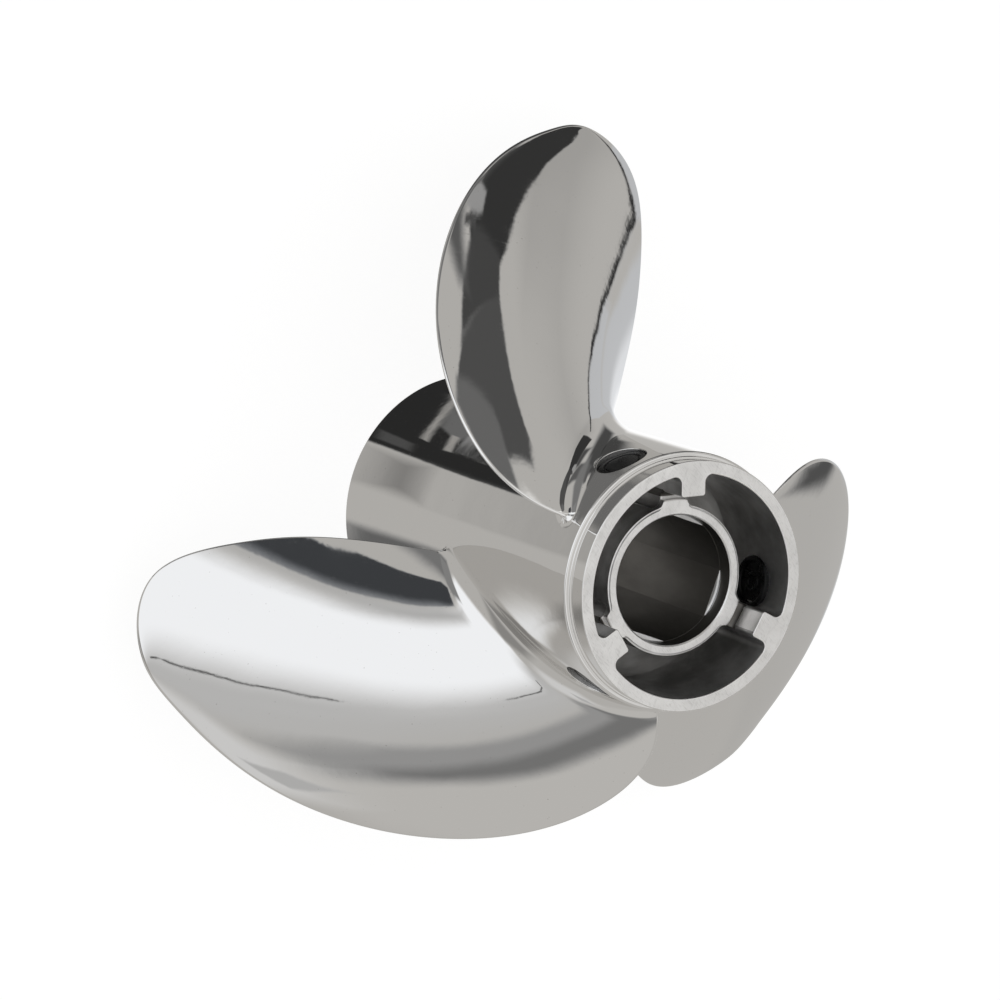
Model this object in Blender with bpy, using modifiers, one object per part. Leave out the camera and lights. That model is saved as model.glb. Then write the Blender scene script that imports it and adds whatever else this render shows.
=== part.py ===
"""A ship propeller of the through-hub exhaust kind, cast in one piece, with a plug in each of its vent holes.

The shaft line is the Z axis. The rear end of the barrel rests on the floor at Z = 0, and the front end,
which meets the gearcase, is at the top. Seen from the front the propeller turns counterclockwise.
"""
import math

import bmesh
import bpy
import numpy as np

MM = 0.001

# Driving dimensions, in millimetres, with heights measured back from the front face
LENGTH = 215.0
FACE_RADIUS = 58.0
CHAMBER_RADIUS = 52.0
SPIGOT_DEPTH = 11.5
SHOULDER_CHAMFER = 1.0
BARREL_RADIUS = 60.3
BARREL_REAR_RADIUS = 60.5
BARREL_WALL = 4.0
FLARE_LENGTH = 70.0
REAR_RADIUS = 66.5
REAR_WALL = 3.6

HUB_RADIUS = 35.2
HUB_CHAMFER = 0.9
HUB_FACE_DEPTH = 15.5
HUB_LENGTH = 119.5
BORE_RADIUS = 30.35
BORE_CHAMFER = 0.6
SOCKET_DEPTH = 24.5
SOCKET_RADIUS = 30.25
SOCKET_ACROSS_FLATS = 56.0
SPARE = 3.0

SPOKE_ANGLE = 51.5
SPOKE_WIDTH = 12.6
STUB_INNER_RADIUS = 41.5
LUG_RADIUS = 38.0
SPOKE_DROP = 3.0
SPOKE_LENGTH = 105.5

VENT_ANGLE = -47.4
VENT_DEPTH = 28.0
VENT_RADIUS = 12.0

BLADES = 3
ROOT_RADIUS = 59.0
ROOT_THICKNESS = 10.5
TIP_THICKNESS = 2.6
EDGE_THICKNESS = 1.6
CAMBER = 0.030
FILLET = 10.0
# The straight sides of the facets would cut inside the curved outline, so the blade is drawn this much wider
EDGE_GROWTH = 0.4

# Steps round the barrel, along a blade and across it
ROUND_STEPS = 72
SPAN_STEPS = 13
CHORD_STEPS = 16

# Points that guide a blade's edge: radius, angle in degrees and depth behind the front face.
# They run from the leading edge's root, round the tip, to the trailing edge's root.
EDGE_GUIDE = (
    (62.1, -10.3, -24.2),
    (84.3, -6.9, -26.1),
    (120.4, -17.6, -52.4),
    (154.1, -37.8, -100.7),
    (182.6, -61.1, -148.4),
    (192.8, -76.9, -175.0),
    (199.5, -82.7, -184.9),
    (187.6, -95.8, -193.8),
    (148.4, -99.7, -173.5),
    (94.2, -103.1, -147.7),
    (58.0, -97.2, -121.3),
)


def clear_scene():
    """Removes the objects of the open scene."""
    for old in list(bpy.data.objects):
        bpy.data.objects.remove(old, do_unlink=True)


def new_collection(name):
    """A collection of this name, linked to the scene."""
    made = bpy.data.collections.new(name)
    bpy.context.scene.collection.children.link(made)
    return made


def new_material(name, colour, roughness, metallic):
    """A Principled material of one colour."""
    made = bpy.data.materials.new(name)
    made.use_nodes = True
    shader = made.node_tree.nodes["Principled BSDF"]
    shader.inputs["Base Color"].default_value = (*colour, 1.0)
    shader.inputs["Roughness"].default_value = roughness
    shader.inputs["Metallic"].default_value = metallic
    made.diffuse_color = (*colour, 1.0)
    return made


def new_object(name, mesh, collection):
    """An object that holds the mesh, in the collection."""
    made = bpy.data.objects.new(name, mesh)
    collection.objects.link(made)
    return made


def as_helper(helper):
    """Keeps a shape that only cuts or joins out of the render."""
    helper.hide_render = True
    helper.display_type = "WIRE"
    return helper


def turned(name, profile, collection, steps=ROUND_STEPS, on_axis=False):
    """A profile of (radius, height) in millimetres, turned round the Z axis.

    It is a closed loop that makes a tube, or with on_axis a line that starts and ends on the axis.
    """
    count = len(profile)
    mesh = bpy.data.meshes.new(name)
    points = [(r * MM, 0.0, z * MM) for r, z in profile]
    lines = [(i, (i + 1) % count) for i in range(count - 1 if on_axis else count)]
    mesh.from_pydata(points, lines, [])
    made = new_object(name, mesh, collection)
    screw = made.modifiers.new("turn", "SCREW")
    screw.axis = "Z"
    screw.angle = math.tau
    screw.steps = steps
    screw.render_steps = steps
    screw.use_merge_vertices = True
    screw.merge_threshold = 0.00001
    return made


def join(target, other, operation):
    """Adds an exact Boolean with the other object to the target."""
    step = target.modifiers.new(f"{operation.lower()} {other.name}", "BOOLEAN")
    step.operation = operation
    step.solver = "EXACT"
    step.object = other
    return step


def barrel_profile():
    """The barrel's section, with metal left on its front face: down its outer side, then up inside."""
    top = LENGTH + SPARE
    seat = LENGTH - SPIGOT_DEPTH
    outer = [
        (FACE_RADIUS, top),
        (FACE_RADIUS, seat),
        (BARREL_RADIUS - SHOULDER_CHAMFER, seat),
        (BARREL_RADIUS, seat - SHOULDER_CHAMFER),
        (BARREL_REAR_RADIUS, FLARE_LENGTH),
    ]
    inner = []
    for i in range(1, 8):
        share = i / 7
        radius = BARREL_REAR_RADIUS + (REAR_RADIUS - BARREL_REAR_RADIUS) * share**1.8
        height = FLARE_LENGTH * (1 - share)
        outer.append((radius, height))
        inner.append((radius - REAR_WALL - (BARREL_WALL - REAR_WALL) * (1 - share), height))
    inner.reverse()
    inner.append((BARREL_RADIUS - BARREL_WALL, LENGTH - 62.0))
    inner.append((CHAMBER_RADIUS, LENGTH - 50.0))
    inner.append((CHAMBER_RADIUS, top))
    return outer + inner


def hub_profile():
    """The inner hub: a thick tube with a chamfered front face, set back behind the front of the barrel."""
    top = LENGTH - HUB_FACE_DEPTH
    low = top - HUB_LENGTH
    return [
        (HUB_RADIUS - HUB_CHAMFER - 1.0, top + 1.0),
        (HUB_RADIUS, top - HUB_CHAMFER),
        (HUB_RADIUS - 2.0, low + 1.0),
        (HUB_RADIUS - 3.0, low),
        (18.0, low),
        (18.0, top + 1.0),
    ]


def spline_points(guide, count):
    """Points along the clamped cubic B-spline that the guide points pull."""
    guide = np.array(guide, float)
    knots = np.concatenate([np.zeros(3), np.linspace(0, 1, len(guide) - 2), np.ones(3)])
    along = np.linspace(0, 1 - 1e-9, count)
    basis = ((along[:, None] >= knots[:-1]) & (along[:, None] < knots[1:])).astype(float)
    for degree in (1, 2, 3):
        left_width = knots[degree:-1] - knots[: -1 - degree]
        right_width = knots[degree + 1 :] - knots[1:-degree]
        left = (along[:, None] - knots[: -1 - degree]) / np.where(left_width > 0, left_width, 1)
        right = (knots[degree + 1 :] - along[:, None]) / np.where(right_width > 0, right_width, 1)
        basis = left * basis[:, :-1] * (left_width > 0) + right * basis[:, 1:] * (right_width > 0)
    return basis @ guide


def blade_edges(radii):
    """Angle and depth of the leading and the trailing edge at each radius."""
    edge = spline_points(EDGE_GUIDE, 2000)
    tip = int(edge[:, 0].argmax())
    leading = edge[: tip + 1]
    start = int(leading[:, 0].argmin())
    leading = leading[start:]
    trailing = edge[tip:][::-1]
    values = []
    for side in (leading, trailing):
        grown = np.maximum.accumulate(side[:, 0])
        values.append(np.interp(radii, grown, side[:, 1]))
        values.append(np.interp(radii, grown, side[:, 2]))
    return values, edge[tip, 0]


def blade_mesh(name):
    """One blade: sections on cylinders round the shaft, lofted from inside the barrel's wall to the tip."""
    reach = blade_edges(np.array([100.0]))[1]
    share = np.linspace(0, 1, SPAN_STEPS)
    rise = BARREL_RADIUS + (reach + 0.2 - BARREL_RADIUS) * np.sin(share * math.pi / 2 * 0.975)
    low = [ROOT_RADIUS, BARREL_RADIUS]
    fillet = [BARREL_RADIUS + FILLET * k for k in (0.12, 0.35, 0.7, 1.1)]
    radii = np.array(low + fillet + [r for r in rise if r > fillet[-1] + 3])
    edges = blade_edges(np.clip(radii - EDGE_GROWTH, 66.0, reach - 0.1))[0]
    lead_angle, lead_depth, trail_angle, trail_depth = [e[:, None] for e in edges]
    radius = radii[:, None]
    part = (1 - np.cos(np.linspace(0, math.pi, CHORD_STEPS + 1)))[None, :] / 2
    run = radius * np.radians(lead_angle - trail_angle)
    drop = lead_depth - trail_depth
    chord = np.hypot(run, drop)
    cosine, sine = run / chord, drop / chord
    along = part * (chord + 2 * EDGE_GROWTH) - EDGE_GROWTH
    angle = np.radians(lead_angle) - along * cosine / radius
    depth = lead_depth - along * sine
    span = (radius - BARREL_RADIUS) / (reach - BARREL_RADIUS)
    thick = ROOT_THICKNESS + (TIP_THICKNESS - ROOT_THICKNESS) * np.clip(span, 0, 1) ** 0.8
    thick = np.minimum(thick, EDGE_THICKNESS + 0.12 * chord)
    bulge = 4 * part * (1 - part)
    half = EDGE_THICKNESS / 2 + (thick - EDGE_THICKNESS) / 2 * bulge**0.7
    inside = np.clip(FILLET - (radius - BARREL_RADIUS), 0, FILLET)
    flare = FILLET - np.sqrt(FILLET**2 - inside**2)
    half = half + flare * (0.25 + 0.75 * bulge**0.5)
    middle = CAMBER * chord * bulge
    sheets = []
    for side in (1, -1):
        offset = middle + side * half
        turn = angle - sine * offset / radius
        height = LENGTH + depth + cosine * offset
        sheets.append(np.stack([radius * np.cos(turn), radius * np.sin(turn), height], -1))
    rows, columns = part.shape[1] * 2, len(radii)
    ring = np.concatenate([sheets[0], sheets[1][:, ::-1]], axis=1)
    points = ring.reshape(-1, 3) * MM
    faces = []
    for j in range(columns - 1):
        for i in range(rows):
            k = (i + 1) % rows
            faces.append((j * rows + i, j * rows + k, (j + 1) * rows + k, (j + 1) * rows + i))
    for j, flip in ((0, True), (columns - 1, False)):
        for i in range(rows // 2 - 1):
            quad = [j * rows + i, j * rows + i + 1, j * rows + rows - 2 - i, j * rows + rows - 1 - i]
            faces.append(tuple(reversed(quad)) if flip else tuple(quad))
    mesh = bpy.data.meshes.new(name)
    mesh.from_pydata(points.tolist(), [], faces)
    shape = bmesh.new()
    shape.from_mesh(mesh)
    bmesh.ops.recalc_face_normals(shape, faces=shape.faces)
    shape.to_mesh(mesh)
    shape.free()
    return mesh


def prism(name, outline, axis, low, high, collection):
    """An outline of points in millimetres, pushed from low to high along Y or Z."""
    mesh = bpy.data.meshes.new(name)
    shape = bmesh.new()
    if axis == "Z":
        ring = [shape.verts.new((x * MM, y * MM, low * MM)) for x, y in outline]
        push = (0.0, 0.0, (high - low) * MM)
    else:
        ring = [shape.verts.new((x * MM, low * MM, z * MM)) for x, z in outline]
        push = (0.0, (high - low) * MM, 0.0)
    grown = bmesh.ops.extrude_face_region(shape, geom=[shape.faces.new(ring)])
    moved = [v for v in grown["geom"] if isinstance(v, bmesh.types.BMVert)]
    bmesh.ops.translate(shape, verts=moved, vec=push)
    bmesh.ops.recalc_face_normals(shape, faces=shape.faces)
    shape.to_mesh(mesh)
    shape.free()
    return new_object(name, mesh, collection)


def socket_outline():
    """The drive socket's section: a circle with a flat on each of its four sides."""
    half = SOCKET_ACROSS_FLATS / 2
    first = math.degrees(math.acos(half / SOCKET_RADIUS))
    points = []
    for quarter in range(4):
        for step in range(7):
            turn = math.radians(90 * quarter + first + (90 - 2 * first) * step / 6)
            points.append((SOCKET_RADIUS * math.cos(turn), SOCKET_RADIUS * math.sin(turn)))
    return points


def spoke_outline():
    """A spoke seen from its side, as radius and height: a lug at the hub, a notch, and the stub on the ring.

    The lug and the stub start above their machined faces, which are cut later.
    """
    face = LENGTH - HUB_FACE_DEPTH
    floor = face - SPOKE_LENGTH
    return [
        (32.0, floor + 4),
        (BARREL_RADIUS - 2.0, floor),
        (55.0, LENGTH - 50.0),
        (55.0, LENGTH + SPARE / 2),
        (STUB_INNER_RADIUS, LENGTH + SPARE / 2),
        (STUB_INNER_RADIUS, face - SPOKE_DROP),
        (LUG_RADIUS, face - SPOKE_DROP),
        (LUG_RADIUS, face + 1.0),
        (32.0, face + 1.0),
    ]


def main():
    clear_scene()
    parts = new_collection("ship_propeller")
    helpers = new_collection("cutters")
    steel = new_material("polished_steel", (0.62, 0.61, 0.59), 0.12, 1.0)
    plastic = new_material("black_plastic", (0.02, 0.02, 0.02), 0.4, 0.0)

    casting = turned("propeller_casting", barrel_profile(), parts)
    casting.data.materials.append(steel)

    hub = as_helper(turned("hub_tube", hub_profile(), helpers))
    join(casting, hub, "UNION")

    for k in range(BLADES):
        width = SPOKE_WIDTH / 2
        spoke = as_helper(prism(f"spoke_{k + 1}", spoke_outline(), "Y", -width, width, helpers))
        spoke.rotation_euler[2] = math.radians(SPOKE_ANGLE + 120 * k)
        join(casting, spoke, "UNION")

    for k in range(BLADES):
        blade = as_helper(new_object(f"blade_{k + 1}", blade_mesh(f"blade_{k + 1}"), helpers))
        blade.rotation_euler[2] = math.radians(120 * k)
        join(casting, blade, "UNION")

    facing = [
        (0.0, LENGTH + 3 * SPARE),
        (FACE_RADIUS + 6, LENGTH + 3 * SPARE),
        (FACE_RADIUS + 6, LENGTH - 1.2),
        (FACE_RADIUS + 0.6, LENGTH - 1.2),
        (FACE_RADIUS - 0.6, LENGTH),
        (0.0, LENGTH),
    ]
    facing_cut = turned("facing_cut", facing, helpers, on_axis=True)
    join(casting, as_helper(facing_cut), "DIFFERENCE")

    socket = as_helper(prism("drive_socket", socket_outline(), "Z", 40, LENGTH + 2, helpers))
    join(casting, socket, "DIFFERENCE")
    face = LENGTH - HUB_FACE_DEPTH
    mouth = [
        (0.0, LENGTH + 5),
        (LUG_RADIUS + 2.0, LENGTH + 5),
        (LUG_RADIUS + 2.0, face),
        (BORE_RADIUS + BORE_CHAMFER, face),
        (BORE_RADIUS, face - BORE_CHAMFER),
        (BORE_RADIUS, LENGTH - SOCKET_DEPTH),
        (0.0, LENGTH - SOCKET_DEPTH),
    ]
    counterbore = turned("counterbore", mouth, helpers, on_axis=True)
    join(casting, as_helper(counterbore), "DIFFERENCE")

    for k in range(BLADES):
        drill = [(0.0, 72.0), (VENT_RADIUS, 72.0), (VENT_RADIUS, 50.0), (0.0, 50.0)]
        cutter = as_helper(turned(f"vent_cutter_{k + 1}", drill, helpers, 48, on_axis=True))
        rim = VENT_RADIUS - 0.3
        outline = [(0.0, 58.0), (rim - 0.8, 58.0), (rim, 57.2), (rim, 52.4), (0.0, 52.4)]
        plug = turned(f"vent_plug_{k + 1}", outline, parts, 48, on_axis=True)
        plug.data.materials.append(plastic)
        for shape in (cutter, plug):
            shape.rotation_euler = (0.0, math.pi / 2, math.radians(VENT_ANGLE + 120 * k))
            shape.location = (0.0, 0.0, (LENGTH - VENT_DEPTH) * MM)
        join(casting, cutter, "DIFFERENCE")

    for made in parts.objects:
        made.data.shade_smooth()


main()
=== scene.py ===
# %% [markdown]
# A polished ship propeller
#
# Outboard propellers of this kind are poured in stainless steel as one investment casting: three blades
# on a barrel that lets the exhaust out through its middle, and an inner hub on three spokes. The outside is
# polished like a mirror, the front faces are machined, and the passages stay as they left the mould.
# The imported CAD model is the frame, and every piece here is a finer surface laid where its solid is.

# %% The frame
import math

import bpy
import numpy as np
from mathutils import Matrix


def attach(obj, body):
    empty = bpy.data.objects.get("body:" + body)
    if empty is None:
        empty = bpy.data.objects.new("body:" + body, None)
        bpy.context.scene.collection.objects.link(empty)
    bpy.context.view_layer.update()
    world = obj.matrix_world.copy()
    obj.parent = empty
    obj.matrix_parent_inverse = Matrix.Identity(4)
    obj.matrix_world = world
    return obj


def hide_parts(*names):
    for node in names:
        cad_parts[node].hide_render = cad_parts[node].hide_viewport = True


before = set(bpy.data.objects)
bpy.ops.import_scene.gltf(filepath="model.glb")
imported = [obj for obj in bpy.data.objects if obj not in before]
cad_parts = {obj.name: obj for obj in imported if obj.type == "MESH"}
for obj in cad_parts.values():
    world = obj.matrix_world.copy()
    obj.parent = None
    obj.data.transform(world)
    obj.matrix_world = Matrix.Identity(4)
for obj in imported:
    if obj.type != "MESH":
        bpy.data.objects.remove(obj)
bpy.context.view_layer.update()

# %% [markdown]
# Sizes
#
# A propeller is drawn from its shaft line. Radii are measured from it, and depths are measured back from the
# front face, as on a workshop drawing. They follow the sizes of the CAD model, so the finer surfaces fit it.

# %% Driving dimensions in millimetres
MM = 0.001
LENGTH = 215.0
FACE_RADIUS = 58.0
CHAMBER_RADIUS = 52.0
CHAMBER_DEPTH = 50.0
SPIGOT_DEPTH = 11.5
BARREL_RADIUS = 60.3
BARREL_REAR_RADIUS = 60.5
BARREL_WALL = 4.0
FLARE_LENGTH = 70.0
REAR_RADIUS = 66.5
REAR_WALL = 3.6
HUB_RADIUS = 35.2
HUB_FACE_RADIUS = 34.1
HUB_FACE_DEPTH = 15.5
HUB_LENGTH = 119.5
BORE_RADIUS = 30.35
BORE_CHAMFER = 0.6
SOCKET_DEPTH = 24.5
SOCKET_RADIUS = 30.25
SOCKET_ACROSS_FLATS = 56.0
SPOKE_ANGLE = 51.5
SPOKE_WIDTH = 12.6
STUB_INNER_RADIUS = 41.5
LUG_RADIUS = 38.1
SPOKE_DROP = 3.0
SPOKE_LENGTH = 105.5
VENT_ANGLE = -47.4
VENT_DEPTH = 28.0
VENT_RADIUS = 12.0
BLADES = 3
THIRDS = [360 / BLADES * k for k in range(BLADES)]
HUB_FACE = LENGTH - HUB_FACE_DEPTH
SPOKE_LOW = HUB_FACE - SPOKE_LENGTH
VENT_HEIGHT = LENGTH - VENT_DEPTH
print("barrel", 2 * BARREL_RADIUS, "mm across,", LENGTH, "mm long")

# %% [markdown]
# From a grid to a mesh
#
# Each surface is worked out as rings of points with the exact direction that the surface faces at each one.
# On a mirror finish the reflections follow those directions, so they are handed to the mesh instead of
# being averaged from its faces. Rings that follow one another are bridged by quads, all turned the same way.

# %% Grids, meshes and pieces
CREASE = 14


def ring_quads(rows, columns, closed_rows=False):
    """Faces between neighbouring rings: row j joins row j + 1, and the last column joins the first."""
    j = np.arange(rows if closed_rows else rows - 1)[:, None]
    i = np.arange(columns)[None, :]
    after, beside = (j + 1) % rows, (i + 1) % columns
    corners = [j * columns + i, j * columns + beside, after * columns + beside, after * columns + i]
    return np.stack(np.broadcast_arrays(*corners), -1).reshape(-1, 4)


def end_fan(row, columns, centre, flip=False):
    """Triangles from the ring at this row to one middle point. They close the surface there."""
    i = np.arange(columns)
    fan = np.stack([row * columns + i, row * columns + (i + 1) % columns, np.full(columns, centre)], -1)
    return fan[:, ::-1] if flip else fan


def tube_faces(rows, columns):
    """Faces of a tube of rings with a fan at each end. The two middle points follow the rings' points."""
    count = rows * columns
    ends = [end_fan(0, columns, count, flip=True), end_fan(rows - 1, columns, count + 1)]
    return [ring_quads(rows, columns)] + ends


def make_mesh(name, points, faces, normals, finish=None):
    """A mesh from arrays in millimetres, where faces is a list of arrays of quads or triangles.

    Without normals Blender averages them and breaks them at creases. A normal of zero length means the same
    for that point.
    """
    mesh = bpy.data.meshes.new(name)
    sizes = np.concatenate([np.full(len(f), f.shape[1]) for f in faces])
    corners = np.concatenate([f.ravel() for f in faces]).astype(np.int32)
    mesh.vertices.add(len(points))
    mesh.vertices.foreach_set("co", (np.asarray(points, np.float64) * MM).astype(np.float32).ravel())
    mesh.loops.add(len(corners))
    mesh.loops.foreach_set("vertex_index", corners)
    mesh.polygons.add(len(sizes))
    mesh.polygons.foreach_set("loop_start", (np.cumsum(sizes) - sizes).astype(np.int32))
    mesh.polygons.foreach_set("loop_total", sizes.astype(np.int32))
    if finish is not None:
        mesh.polygons.foreach_set("material_index", np.asarray(finish, np.int32))
    mesh.update(calc_edges=True)
    mesh.validate()
    mesh.shade_smooth()
    if normals is None:
        mesh.set_sharp_from_angle(angle=math.radians(CREASE))
    else:
        mesh.normals_split_custom_set_from_vertices(np.asarray(normals, np.float64).tolist())
    return mesh


def new_object(name, data):
    """An object at the origin that holds this mesh or camera, linked to the scene."""
    made = bpy.data.objects.new(name, data)
    bpy.context.scene.collection.objects.link(made)
    return made


def make_piece(name, mesh, materials, slot, *nodes):
    """An object at the origin that rides on the part and stands for these nodes of the CAD model."""
    piece = new_object(name, mesh)
    for material in materials:
        mesh.materials.append(material)
    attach(piece, "root")
    if nodes:
        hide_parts(*nodes)
    triangles = sum(len(f.vertices) - 2 for f in mesh.polygons)
    print(f"{name}: {triangles} triangles")
    return piece


def unit(vectors):
    """Vectors scaled to length one, and zero where they have none."""
    length = np.linalg.norm(vectors, axis=-1, keepdims=True)
    return vectors / np.where(length > 0, length, 1)


def turn_about_shaft(points, degrees):
    """Points or directions turned about the shaft line."""
    c, s = math.cos(math.radians(degrees)), math.sin(math.radians(degrees))
    return points @ np.array([[c, s, 0], [-s, c, 0], [0, 0, 1]])


print("one ring of 6 points joins the next by", len(ring_quads(2, 6)), "quads")

# %% [markdown]
# Turned profiles with eased corners
#
# A lathe leaves a flat, a small rounded edge, and the next flat. The rounded edge catches a bright line of
# light, which is what makes a machined ring look real. A profile is a list of corners, each with the radius
# of its rounding, and walking it with the metal on the left gives the way out of the metal on the right.

# %% Rounded profiles
def rounded_profile(corners, arc_steps=6):
    """Points and outward normals along an open chain of (radius, height, rounding).

    A corner is replaced by an arc that touches both its legs. Along a leg the normal is the leg's direction
    turned a quarter clockwise, and along an arc it turns evenly from one leg's to the next one's.
    """
    spots = np.array([c[:2] for c in corners], float)
    legs = unit(np.diff(spots, axis=0))
    facing = np.stack([legs[:, 1], -legs[:, 0]], -1)
    points, normals = [spots[0]], [facing[0]]
    for k in range(1, len(corners) - 1):
        before, after = facing[k - 1], facing[k]
        bend = math.atan2(before[0] * after[1] - before[1] * after[0], float(before @ after))
        size = corners[k][2]
        if size == 0 or abs(bend) < 0.02:
            points.append(spots[k])
            normals.append(unit(before + after))
            continue
        reach = size * math.tan(abs(bend) / 2)
        start = spots[k] - legs[k - 1] * reach
        middle = start - before * size * math.copysign(1, bend)
        swing = np.linspace(0, bend, arc_steps + 1)[:, None]
        spin = before * np.cos(swing) + np.array([-before[1], before[0]]) * np.sin(swing)
        points.extend(middle + spin * size * math.copysign(1, bend))
        normals.extend(spin)
    points.append(spots[-1])
    normals.append(facing[-1])
    return np.array(points), np.array(normals)


def revolve(profile, normals, angles):
    """Rings of points: each profile point (radius, height) is carried round the shaft line."""
    c, s = np.cos(angles)[None, :], np.sin(angles)[None, :]

    def swept(pairs):
        """Points or directions at every angle: across times cosine and sine, and up as it is."""
        r, z = pairs[:, :1], pairs[:, 1:]
        return np.stack([r * c, r * s, np.broadcast_to(z, (len(pairs), len(angles)))], -1)

    return swept(profile), swept(normals)


corner_points, _ = rounded_profile([(0, 0, 0), (9, 0, 1), (9, 9, 0)])
print("a rounded corner has", len(corner_points) - 2, "points")

# %% [markdown]
# The blades
#
# A designer lays a blade out on cylinders round the shaft: at each radius a section runs from the leading to
# the trailing edge along a helix, with a little camber, and the sections are stacked out to the tip. The
# outline could be drawn with many points, but a few points that pull a spline keep it fair, and a polished
# blade shows every dent in its curvature. These points were found by a least squares fit of the spline to the
# outlines in the photograph. The root spreads into the barrel along a quarter circle.

# %% The outline of a blade
# Points that pull the edge: radius, angle in degrees, and depth behind the front face, as a negative number.
# They run from the leading edge's root, round the tip, to the trailing edge's root.
EDGE_GUIDE = (
    (62.1, -10.3, -24.2),
    (84.3, -6.9, -26.1),
    (120.4, -17.6, -52.4),
    (154.1, -37.8, -100.7),
    (182.6, -61.1, -148.4),
    (192.8, -76.9, -175.0),
    (199.5, -82.7, -184.9),
    (187.6, -95.8, -193.8),
    (148.4, -99.7, -173.5),
    (94.2, -103.1, -147.7),
    (58.0, -97.2, -121.3),
)
EDGE_SAMPLES = 40001
ROOT_SAMPLES = 40
FOOT_RADIUS = 50.0


def spline_points(guide, along):
    """Points on the clamped cubic B-spline that the guide points pull, by recursion on its knots."""
    guide = np.array(guide, float)
    knots = np.concatenate([np.zeros(3), np.linspace(0, 1, len(guide) - 2), np.ones(3)])
    basis = ((along[:, None] >= knots[:-1]) & (along[:, None] < knots[1:])).astype(float)
    for degree in (1, 2, 3):
        left_width = knots[degree:-1] - knots[: -1 - degree]
        right_width = knots[degree + 1 :] - knots[1:-degree]
        left = (along[:, None] - knots[: -1 - degree]) / np.where(left_width > 0, left_width, 1)
        right = (knots[degree + 1 :] - along[:, None]) / np.where(right_width > 0, right_width, 1)
        basis = left * basis[:, :-1] * (left_width > 0) + right * basis[:, 1:] * (right_width > 0)
    return basis @ guide


def edge_tables():
    """For the leading and the trailing edge: radius, angle, depth and the direction in which it runs.

    The curve is cut at its largest radius, and each edge goes on in a straight line to a radius inside the
    barrel. A direction is a unit vector: round the shaft, along it and out from it.
    """
    curve = spline_points(EDGE_GUIDE, np.linspace(0, 1 - 1e-9, EDGE_SAMPLES))
    tip = int(curve[:, 0].argmax())
    step = np.gradient(curve, axis=0)
    run = unit(np.stack([curve[:, 0] * np.radians(step[:, 1]), step[:, 2], step[:, 0]], -1))
    tables = []
    for side in (slice(0, tip + 1), slice(None, tip - 1, -1)):
        place, way = curve[side], run[side]
        # np.interp needs a radius that always rises
        radius = np.maximum.accumulate(place[:, 0]) + np.arange(len(place)) * 1e-12
        slant = (place[ROOT_SAMPLES] - place[0]) / (radius[ROOT_SAMPLES] - radius[0])
        inward = place[0] - slant * (radius[0] - FOOT_RADIUS)
        tables.append(
            (
                np.concatenate([[FOOT_RADIUS], radius]),
                np.concatenate([[inward[1]], place[:, 1]]),
                np.concatenate([[inward[2]], place[:, 2]]),
                np.concatenate([way[:1], way]),
            )
        )
    return tables, curve[tip]


(LEADING, TRAILING), BLADE_TIP = edge_tables()
REACH = BLADE_TIP[0]
print("the tip sweeps a circle", round(2 * REACH), "mm across")

# %% The surface of a blade
ROOT_THICKNESS = 10.5
TIP_THICKNESS = 2.6
EDGE_THICKNESS = 1.6
THICKNESS_CURVE = 0.8
THICKNESS_BY_CHORD = 0.12
NOSE_BY_CHORD = 0.3
CAMBER = 0.030
FLARE_CURVE = 1.8
FILLET = 10.0
LEADING_FILLET = 5.0
TRAILING_FILLET = 4.0
ROOT_LIFT = 0.03
FOOT_GUESS = 0.1
FOOT_ROUNDS = 4
VENT_CLEAR = 0.8
VENT_SOFTNESS = 0.5
NOSE_STEPS, SIDE_STEPS, FILLET_STEPS, SPAN_STEPS = 8, 84, 16, 112


def barrel_radius(height):
    """The barrel's outer radius at a height above its rear end: nearly straight, with a flared rear end."""
    taper = (LENGTH - SPIGOT_DEPTH - height) / (LENGTH - SPIGOT_DEPTH - FLARE_LENGTH)
    straight = BARREL_RADIUS + (BARREL_REAR_RADIUS - BARREL_RADIUS) * np.clip(taper, 0, 1)
    flare = np.clip(1 - height / FLARE_LENGTH, 0, 1) ** FLARE_CURVE
    return straight + (REAR_RADIUS - BARREL_REAR_RADIUS) * flare


def section_shares():
    """How far each point of a section's ring has come: over the leading nose, the side, the trailing nose.

    The ring runs from the leading edge along the front side to the trailing edge, and back behind the blade.
    Noses are walked in equal angles and sides in half-cosine steps. The sign tells front from back.
    """
    turn = 1 - np.cos(np.linspace(0, math.pi / 2, NOSE_STEPS + 1))
    side = (1 - np.cos(np.linspace(0, math.pi, SIDE_STEPS + 1))) / 2
    lead = np.concatenate([turn[:-1], np.ones(SIDE_STEPS + 1 + NOSE_STEPS)])
    along = np.concatenate([np.zeros(NOSE_STEPS), side, np.ones(NOSE_STEPS)])
    front = np.stack([lead, along, 1 - lead[::-1]])
    ring = np.concatenate([front, front[:, -2:0:-1]], axis=1)
    return ring, np.where(np.arange(ring.shape[1]) < front.shape[1], 1.0, -1.0)


def slopes(points, axis, closed):
    """Directions of a grid's lines at its points, true to second order where the spacing changes."""
    if closed:
        after, before = np.roll(points, -1, axis) - points, points - np.roll(points, 1, axis)
    else:
        step = np.diff(points, axis=axis)
        first, last = np.take(step, [0], axis), np.take(step, [-1], axis)
        after, before = np.concatenate([step, last], axis), np.concatenate([first, step], axis)
    far = np.linalg.norm(after, axis=-1, keepdims=True) + 1e-9
    near = np.linalg.norm(before, axis=-1, keepdims=True) + 1e-9
    return unit(after * near / far + before * far / near)


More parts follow.
